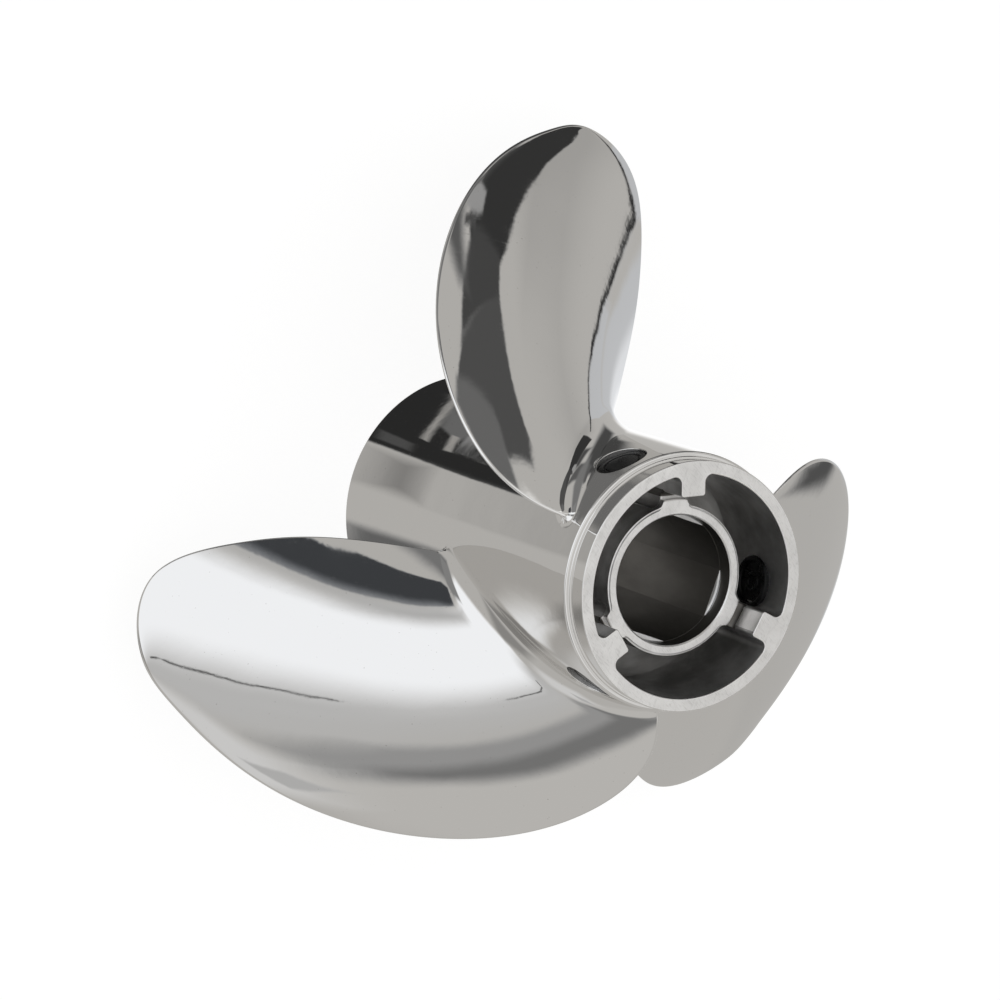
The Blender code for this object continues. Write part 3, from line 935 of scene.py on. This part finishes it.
def plug_mesh(name, degrees):
    """A plug: its profile is turned about an upright axis, laid along X, lifted, and turned to its hole."""
    profile, normals = rounded_profile([(r, -x, e) for r, x, e in PLUG_PROFILE][::-1], 5)
    angles = np.arange(PLUG_COLUMNS) * (2 * math.pi / PLUG_COLUMNS)
    rings, ways = revolve(profile[1:-1], normals[1:-1], angles)
    ends = np.array([[0, 0, profile[0, 1]], [0, 0, profile[-1, 1]]])
    points = np.concatenate([rings.reshape(-1, 3), ends])
    facing = np.concatenate([ways.reshape(-1, 3), [[0, 0, -1.0], [0, 0, 1.0]]])
    lay = np.array([[0, 0, 1.0], [0, 1.0, 0], [-1.0, 0, 0]])
    points, facing = points @ lay, facing @ lay
    points = turn_about_shaft(points + UP * VENT_HEIGHT, degrees)
    return make_mesh(name, points, tube_faces(len(rings), PLUG_COLUMNS), turn_about_shaft(facing, degrees))


print("plugs", 2 * PLUG_RADIUS, "mm across")

# %% [markdown]
# Shader sums
#
# A material could be built by adding and linking its nodes one by one, but it is easier to read as a formula.
# The class below wraps a socket, so that plus, minus and times add the Math nodes, and its graph adds every
# other kind of node from its settings and its inputs.

# %% Sockets that can be reckoned with
class Shade:
    """An output socket of a graph, worked out from others."""

    def __init__(self, graph, socket):
        self.graph, self.socket = graph, socket

    def math(self, operation, *others):
        """The result of a Math node on this socket and the others."""
        return self.graph.add("ShaderNodeMath", {"operation": operation}, dict(enumerate((self, *others))))

    def __add__(self, other):
        return self.math("ADD", other)

    def __sub__(self, other):
        return self.math("SUBTRACT", other)

    def __rsub__(self, other):
        return self.graph.add("ShaderNodeMath", {"operation": "SUBTRACT"}, {0: other, 1: self})

    def __mul__(self, other):
        return self.math("MULTIPLY", other)

    __radd__, __rmul__ = __add__, __mul__

    def between(self, low, high):
        """0 below low, 1 above high, and a smooth climb in between. It falls where low is above high."""
        limits = {"Value": self, "From Min": low, "From Max": high}
        return self.graph.add("ShaderNodeMapRange", {"interpolation_type": "SMOOTHSTEP"}, limits)


class Graph:
    """A node tree that grows by one method."""

    def __init__(self, tree):
        self.tree = tree

    def feed(self, node, inputs):
        """Sets or links a node's inputs."""
        for name, value in inputs.items():
            if isinstance(value, Shade):
                self.tree.links.new(value.socket, node.inputs[name])
            else:
                node.inputs[name].default_value = value

    def add(self, kind, settings=None, inputs=None, output=0):
        """One of a new node's outputs, after its settings are made and its inputs are set or linked."""
        node = self.tree.nodes.new(kind)
        for name, value in (settings or {}).items():
            setattr(node, name, value)
        self.feed(node, inputs or {})
        return Shade(self, node.outputs[output])

    def blend(self, factor, first, second):
        """A colour between two others."""
        return self.add("ShaderNodeMix", {"data_type": "RGBA"}, {0: factor, 6: first, 7: second}, 2)

    def place(self):
        """The piece's own coordinates in metres."""
        return self.add("ShaderNodeTexCoord", output="Object")

    def noise(self, per_metre, detail=2.0, stretch=(1, 1, 1), where=None):
        """Noise with about this many swells a metre along each axis, times the axis's stretch."""
        scale = {"Vector": where or self.place(), "Scale": stretch}
        spot = self.add("ShaderNodeMapping", None, scale)
        return self.add("ShaderNodeTexNoise", None, {"Vector": spot, "Scale": per_metre, "Detail": detail})

    def bump(self, height, distance):
        """A normal that follows a height between 0 and 1, times a distance in metres."""
        return self.add("ShaderNodeBump", None, {"Height": height, "Distance": distance})


def grey(tone, warmth=0.0):
    """A colour of this brightness, a little warmer than grey."""
    return (tone * (1 + warmth), tone, tone * (1 - 1.6 * warmth), 1.0)


def new_material(name, colour, **values):
    """A material and its graph, with the shader's values that are the same all over it."""
    material = bpy.data.materials.new(name)
    material.use_nodes = True
    material.diffuse_color = colour
    shader = material.node_tree.nodes["Principled BSDF"]
    graph = Graph(material.node_tree)
    graph.feed(shader, {"Base Color": colour} | {k.replace("_", " "): v for k, v in values.items()})
    return material, graph, shader


print("a class for sums and a class for nodes")

# %% [markdown]
# Mirror-polished steel
#
# Belt and mop polishing leaves a mirror that is not quite flat: slow waves where the belt has dwelt, a fine
# ripple, hair scratches along the mop's path, and pinholes of the casting. A smooth metal with a slight bump
# does all this. The waves bend the reflections, and the roughness is broken up where hands have smeared it.

# %% Polished steel
STEEL_TONE = 0.80


def polished_steel():
    """A smooth metal. Its height is the waves, plus ripple, hairs and grain, less the pits."""
    steel = grey(STEEL_TONE, 0.010)
    material, graph, shader = new_material("polished steel", steel, Metallic=1.0)
    waves = graph.noise(26.0, 1.0)
    ripple = graph.noise(140.0, 2.0)
    grain = graph.noise(1600.0, 1.0)
    hairs = graph.noise(420.0, 3.0, (0.12, 1.0, 1.0)).between(0.60, 0.72)
    crossed = graph.noise(380.0, 3.0, (1.0, 0.9, 0.10)).between(0.62, 0.74)
    pits = graph.noise(1100.0, 0.0).between(0.82, 0.90)
    height = waves + 0.07 * ripple + 0.001 * hairs + 0.001 * crossed + 0.001 * grain - 0.003 * pits
    smears = graph.noise(60.0, 4.0).between(0.35, 0.75)
    graph.feed(
        shader,
        {
            "Base Color": graph.blend(0.5 * pits, steel, grey(0.40, 0.04)),
            "Roughness": 0.02 + 0.035 * smears + 0.04 * hairs + 0.1 * pits,
            "Normal": graph.bump(height, 0.0002),
        },
    )
    return material


polished = polished_steel()
print("finish:", polished.name)

# %% [markdown]
# Machined steel
#
# The front faces are turned on a lathe, so their marks run round the shaft: fine grooves of uneven depth that
# spread the light across them. They are noise that reads only the distance from the shaft and the depth.
# Over them lie nicks and strokes from handling, which are noise stretched in two directions, and stains.

# %% Machined steel
def machined_steel():
    """A duller metal. Stains, nicks and strokes darken it, and grooves, bands and marks make its height."""
    material, graph, shader = new_material("machined steel", grey(0.78, 0.002), Metallic=1.0)
    spot = graph.place()
    flat = graph.add("ShaderNodeVectorMath", {"operation": "MULTIPLY"}, {0: spot, 1: (1, 1, 0)})
    radius = graph.add("ShaderNodeVectorMath", {"operation": "LENGTH"}, {0: flat}, "Value")
    height = graph.add("ShaderNodeSeparateXYZ", None, {0: spot}, "Z")
    lathe = graph.add("ShaderNodeCombineXYZ", None, {0: radius, 1: height})
    grooves = graph.noise(2600.0, 2.0, where=lathe)
    bands = graph.noise(500.0, 2.0, where=lathe)
    stains = graph.noise(90.0, 5.0).between(0.25, 0.80)
    turned = graph.add("ShaderNodeMapping", None, {"Vector": spot, "Rotation": (0, 0, 0.5)})
    nicks = graph.noise(2300.0, 4.0, (0.16, 1.0, 1.0), turned).between(0.50, 0.75)
    strokes = graph.noise(900.0, 4.0, (0.9, 0.25, 1.0)).between(0.50, 0.75)
    tone = graph.blend(0.35 * stains + 0.40 * nicks + 0.25 * strokes, grey(0.92, 0.008), grey(0.60, 0.012))
    graph.feed(
        shader,
        {
            "Base Color": tone,
            "Roughness": 0.26 + 0.12 * bands + 0.10 * stains,
            "Normal": graph.bump(grooves + 0.6 * bands + 0.5 * nicks + 0.5 * strokes, 0.00001),
        },
    )
    return material


machined = machined_steel()
print("finish:", machined.name)

# %% [markdown]
# Steel as it left the mould
#
# Inside the barrel nothing is polished. The ceramic mould leaves a fine grain, and the exhaust a thin dark
# film. Grain is noise at a millimetre, and the film is slower noise that mixes a lighter and a darker tone
# and makes the thicker places duller. The hub's bore has the same finish in much darker tones: painted shade
# for the depth of the bore, which the spokes' climbs and ends and the socket's narrow ledges take as well.

# %% Cast steel and bored steel
def dark_steel(name, light, dark, grain, roughness, stretch):
    """A metal whose film blends two tones. Lumps and grit make its height, and film and grit dull it."""
    material, graph, shader = new_material(name, light, Metallic=1.0)
    film = graph.noise(45.0, 5.0, stretch).between(0.25, 0.75)
    grit = graph.noise(1100.0, 3.0)
    lumps = graph.noise(170.0, 2.0, stretch)
    graph.feed(
        shader,
        {
            "Base Color": graph.blend(film, light, dark),
            "Roughness": roughness + 0.14 * film + 0.06 * grit,
            "Normal": graph.bump(lumps + 0.25 * grit, grain),
        },
    )
    return material


cast = dark_steel("cast steel", grey(0.80, 0.0), grey(0.34, 0.01), 0.00010, 0.28, (1, 1, 1))
# The bore's tones are far darker than steel: painted shade for the depth of the bore.
bore_and_shade = dark_steel("bore steel and painted shade", grey(0.17, 0.04), grey(0.11, 0.05), 0.00002, 0.28, (1, 1, 0.4))
print("finishes:", cast.name, "and", bore_and_shade.name)

# %% [markdown]
# Black plastic
#
# The plugs are moulded in black plastic with a soft gloss. It could be one plain colour, but a skin of very
# fine grain and a few rubbed places, lighter and duller, keep it from looking like paint.

# %% Black plastic
def black_plastic():
    """A dark plastic. The rubbed places blend two tones and dull it, and the skin is its height."""
    material, graph, shader = new_material("black plastic", grey(0.006), Specular_IOR_Level=0.16)
    skin = graph.noise(900.0, 2.0)
    rubbed = graph.noise(110.0, 4.0).between(0.45, 0.75)
    graph.feed(
        shader,
        {
            "Base Color": graph.blend(rubbed, grey(0.004), grey(0.012)),
            "Roughness": 0.26 + 0.16 * rubbed,
            "Normal": graph.bump(skin, 0.000004),
        },
    )
    return material


plastic = black_plastic()
print("finish:", plastic.name)

# %% [markdown]
# Laying the pieces on the frame
#
# Everything is one casting, apart from the plugs. The pieces of steel all stand for the casting's solid, and
# each plug for its own.

# %% The pieces
FINISHES = [polished, machined, cast, bore_and_shade]
for k, third in enumerate(THIRDS):
    name = f"blade_{k + 1}"
    make_piece(name, blade_mesh(name, third, surface), [polished], "polished_steel", "propeller_casting")
for name, mesh in (("propeller_barrel", barrel_mesh), ("inner_hub", hub_mesh)):
    make_piece(name, mesh(name), FINISHES, "polished_steel", "propeller_casting")
for k, third in enumerate(THIRDS):
    name = f"spoke_{k + 1}"
    make_piece(name, spoke_mesh(name, SPOKE_ANGLE + third), FINISHES, "polished_steel", "propeller_casting")
for k, third in enumerate(THIRDS):
    name = f"plug_{k + 1}"
    make_piece(name, plug_mesh(name, VENT_ANGLE + third), [plastic], "black_plastic", f"vent_plug_{k + 1}")

# %% [markdown]
# The studio
#
# A mirror has no look of its own, so the room makes the picture. Light and dark panels hang round the
# propeller, and each blade shows a few of them. A panel is a flat polygon given by the azimuth and elevation
# of its corners, seen from the propeller. They could be lamps, but a glowing tent whose brightness is worked
# out once at each of its points renders much faster, and its soft light has no grain.

# %% Panels of light and dark round the propeller
# brightness, warmth, softness of the edge in degrees, and corners as azimuth and elevation, clockwise
PANELS = (
    (0.88, 0.0, 10, ((-300, 56), (-300, 120), (180, 120), (180, 56))),
    # the top blade shows these
    (0.40, 0.02, 14, ((-142, -16), (-136, -2), (-120, 6), (-112, -4), (-126, -18))),
    (0.58, -0.02, 3, ((-185, -35), (-172, -24), (-158, -24), (-158, -60), (-185, -60))),
    (0.80, -0.02, 6, ((-182, -38), (-175, -32), (-168, -33), (-165, -48), (-168, -60), (-182, -60))),
    (
        0.07, 0.0, 8,
        ((-137, -28), (-124, -20.5), (-112, -17), (-80, -13), (-72, -10), (-68, -45), (-128, -45)),
    ),
    (0.038, 0.0, 0.7, ((-127, -9), (-120, 0), (-108, 9.5), (-96, 12), (-95, 5), (-100, -4), (-115, -19))),
    (0.065, 0.0, 1.2, ((-108, 8.5), (-108, 13), (-87, 20), (-91, 13), (-97, 7.5))),
    (0.085, 0.0, 1.2, ((-112, 20.5), (-109, 25), (-98, 31), (-80, 31), (-80, 27), (-87, 20), (-108, 12))),
    (0.150, 0.0, 2, ((-98, 28), (-97, 35), (-84, 38), (-76, 30), (-80, 26), (-97, 26.5))),
    (0.08, 0.0, 5, ((-107, -10), (-98.5, 0), (-94, 2), (-92, -4), (-104, -20))),
    (0.115, 0.0, 4, ((-92, -8), (-92.5, 14), (-89, 13), (-62, -24), (-62, -30), (-80, -30))),
    (0.34, 0.0, 1.0, ((-101, 3), (-100.5, 6), (-97, 6.5), (-93, 4), (-95, 0.5), (-98, 0))),
    (0.08, 0.0, 0.8, ((-98, 6), (-97.5, 8), (-93, 7), (-93, 5.5))),
    (1.05, 0.0, 2.5, ((-125, 30), (-100, 45), (-84, 37.5), (-98, 33.5), (-110, 27), (-116, 23))),
    (
        0.57, -0.02, 0.8,
        ((-157.5, -22.8), (-155, -19.8), (-151.3, -18.2), (-142, -18), (-142, -27), (-157.5, -40)),
    ),
    (0.025, 0.0, 0.4, ((-156.2, -19.7), (-151.4, -17.4), (-151, -18.4), (-155.6, -20.2))),
    (
        0.025, 0.0, 0.4,
        ((-151.4, -17.4), (-142, -16.8), (-126, -16.3), (-126, -17.7), (-142, -18), (-151.4, -18.4)),
    ),
    (0.20, 0.0, 8, ((-92, -22), (-86, -8), (-75, 2), (-50, 4), (-28, 5), (-28, -20))),
    # the left blade shows these
    (1.08, -0.02, 8, ((-38, 3), (-31, 42), (13, 50), (30, 34), (34, 10), (30, -2), (-20, -10))),
    (0.55, 0.0, 22, ((20, 27), (10, 46), (30, 46), (45, 35), (45, 15), (30, 12))),
    (0.05, 0.0, 0.4, ((20, 37.4), (20.8, 37.4), (25.6, 28), (24.6, 28))),
    (0.34, 0.0, 8, ((44, 34), (45, 46), (74, 48), (72, 25), (50, 27))),
    (0.20, 0.0, 9, ((58, 29), (58, 48), (80, 48), (78, 26))),
    (0.55, 0.02, 10, ((58, 20), (58, 25), (66.5, 32), (70.5, 44), (115, 44), (110, 0))),
    (0.70, 0.0, 12, ((45, 8), (45, 20), (58, 25), (75, 15), (75, 0), (50, 0))),
    (0.50, 0.0, 2, ((63, 11), (63, 20), (70, 21), (71, 13))),
    (0.28, 0.02, 10, ((24, -8), (28, -2), (48, -6), (60, -20), (30, -32))),
    (0.25, 0.0, 4, ((-48, -16), (-47, 6), (-40, 10), (-26, 8), (-28, -14))),
    (0.055, -0.06, 0.8, ((-57.5, 16), (-54, 21.5), (-44, 28), (-38, 31), (-38, 15), (-47, 8), (-53, 7.5))),
    (0.50, 0.0, 10, ((-38, 18), (-38, 30), (-30, 30), (-28, 18), (-32, 14))),
    # the right blade shows these
    (0.48, 0.02, 6, ((-206, -40), (-206, -8), (-174, -8), (-173, -38))),
    (1.15, 0.0, 4, ((-210, -62), (-210, -40), (-176, -42), (-176, -62))),
    (0.09, 0.0, 3, ((-184, -11), (-177, -11.5), (-171, -18), (-174, -21), (-181, -14))),
    # the barrel shows these
    (0.025, 0.0, 2, ((-125, -64), (-120, -46), (-100, -40), (-22, -41), (-28, -64))),
    (0.15, 0.0, 2.5, ((-84, -51), (-60, -52), (-54, -57), (-66, -59))),
    (0.34, 0.03, 0.8, ((-90, -51.4), (-90, -50.6), (-42, -50.6), (-42, -51.8))),
    (0.34, 0.03, 1, ((-60, -57), (-58, -55), (-42, -56), (-44, -58))),
    (0.08, 0.0, 2, ((-35, -50), (-34, -45), (-27, -45), (-28, -50))),
    (0.28, 0.0, 1.2, ((-68, -62), (-66, -58.5), (-46, -59), (-46, -62))),
    (0.22, 0.02, 14, ((-22, -55), (-18, -46), (6, -46), (8, -55))),
    (0.14, 0.0, 8, ((40, -44), (55, -44), (57, -58), (48, -60))),
    (1.08, 0.0, 15, ((-180, -64), (-180, -52), (-155, -50), (-145, -64))),
)
WALLS, WALLS_WARMTH = 0.50, 0.022
TENT_RADIUS = 8000.0
TENT_SEAM = 120
TENT_STEP = 0.5


def panel_mask(azimuth, elevation, corners, softness):
    """1 inside a convex polygon and 0 outside: the least distance from its edges, made into a smooth ramp."""
    least = np.full(azimuth.shape, np.inf)
    for (a0, e0), (a1, e1) in zip(corners, corners[1:] + corners[:1]):
        length = math.hypot(a1 - a0, e1 - e0)
        least = np.minimum(least, ((e1 - e0) * (azimuth - a0) - (a1 - a0) * (elevation - e0)) / length)
    ramp = np.clip(least / softness + 0.5, 0, 1)
    return ramp**2 * (3 - 2 * ramp)


def tent_colours(azimuth, elevation):
    """Brightness of each direction as red, green and blue. Later panels lie over earlier ones."""
    light, warmth = np.full(azimuth.shape, WALLS), np.full(azimuth.shape, WALLS_WARMTH)
    for brightness, warm, softness, corners in PANELS:
        mask = panel_mask(azimuth, elevation, corners, softness)
        light = light + (brightness - light) * mask
        warmth = warmth + (warm - warmth) * mask
    return np.stack(np.broadcast_arrays(*grey(light, warmth)), -1)


def make_tent():
    """A glowing ball of half-degree faces round the propeller, which the camera doesn't see."""
    round_it = np.arange(TENT_SEAM - 360, TENT_SEAM, TENT_STEP)
    azimuth, elevation = np.meshgrid(round_it, np.arange(TENT_STEP / 2 - 90, 90, TENT_STEP))
    a, e = np.radians(azimuth), np.radians(elevation)
    ball = np.stack([np.cos(e) * np.cos(a), np.cos(e) * np.sin(a), np.sin(e)], -1)
    rows, columns = azimuth.shape
    points = np.concatenate([ball.reshape(-1, 3), [[0, 0, -1.0], [0, 0, 1.0]]])
    faces = tube_faces(rows, columns)
    mesh = make_mesh("tent", points * TENT_RADIUS, faces, -points)
    colours = tent_colours(azimuth, elevation).reshape(-1, 4)
    colours = np.concatenate([colours, colours[[0, -1]]])
    layer = mesh.attributes.new("glow", "FLOAT_COLOR", "POINT")
    layer.data.foreach_set("color", colours.astype(np.float32).ravel())
    material, graph, shader = new_material("glowing tent", grey(0.0), Roughness=1.0, Emission_Strength=1.0)
    glow = graph.add("ShaderNodeAttribute", {"attribute_name": "glow"}, output="Color")
    graph.feed(shader, {"Emission Color": glow, "Specular IOR Level": 0.0})
    material.cycles.emission_sampling = "NONE"
    mesh.materials.append(material)
    tent = new_object("tent", mesh)
    tent.visible_camera = False
    tent.visible_shadow = False
    return len(faces[0])


def make_backdrop():
    """A plain white world, which only the camera sees past the tent."""
    world = bpy.data.worlds.new("backdrop")
    bpy.context.scene.world = world
    world.use_nodes = True
    world.cycles.sampling_method = "NONE"
    Graph(world.node_tree).feed(world.node_tree.nodes["Background"], {"Color": grey(1), "Strength": 1.0})


make_backdrop()
print("panels:", len(PANELS), "on a tent of", make_tent(), "faces")

# %% [markdown]
# Floor and camera
#
# The photograph has a plain white ground and no shadow. A pale floor that glows a little has the same look,
# and metal doesn't see it, so that its reflections show the panels down to below the horizon. The camera's
# place, turn and lens were found by a fit of the rings, the hub and the blades' outlines to the photograph.

# %% A pale floor that glows
FLOOR_REACH = 6.0


def make_floor():
    """A square on the ground with a faint mottle, which only the camera and dull surfaces see."""
    material, graph, shader = new_material("pale floor", grey(0.20), Roughness=1.0)
    mottle = graph.noise(6.0, 2.0)
    graph.feed(shader, {"Base Color": graph.blend(mottle, grey(0.19), grey(0.21))})
    graph.feed(shader, {"Emission Color": grey(1), "Emission Strength": 0.88})
    mesh = bpy.data.meshes.new("floor")
    corners = [(x * FLOOR_REACH, y * FLOOR_REACH, 0) for x, y in ((-1, -1), (1, -1), (1, 1), (-1, 1))]
    mesh.from_pydata(corners, [], [(0, 1, 2, 3)])
    mesh.materials.append(material)
    floor = new_object("floor", mesh)
    floor.visible_glossy = False


make_floor()
print("floor", 2 * FLOOR_REACH, "metres wide")

# %% Camera
CAMERA_PLACE = (1.00719, -0.0088, 1.69834)
CAMERA_TURN = (-11.1325, -29.2664, -158.0742)
CAMERA_LENS = 142.411
CAMERA_SENSOR = 36.0
camera = new_object("camera", bpy.data.cameras.new("camera"))
camera.location = CAMERA_PLACE
camera.rotation_euler = [math.radians(a) for a in CAMERA_TURN]
camera.data.sensor_width = CAMERA_SENSOR
camera.data.lens = CAMERA_LENS
bpy.context.scene.camera = camera
bpy.context.scene.view_settings.view_transform = "Standard"
print("camera at", CAMERA_PLACE)
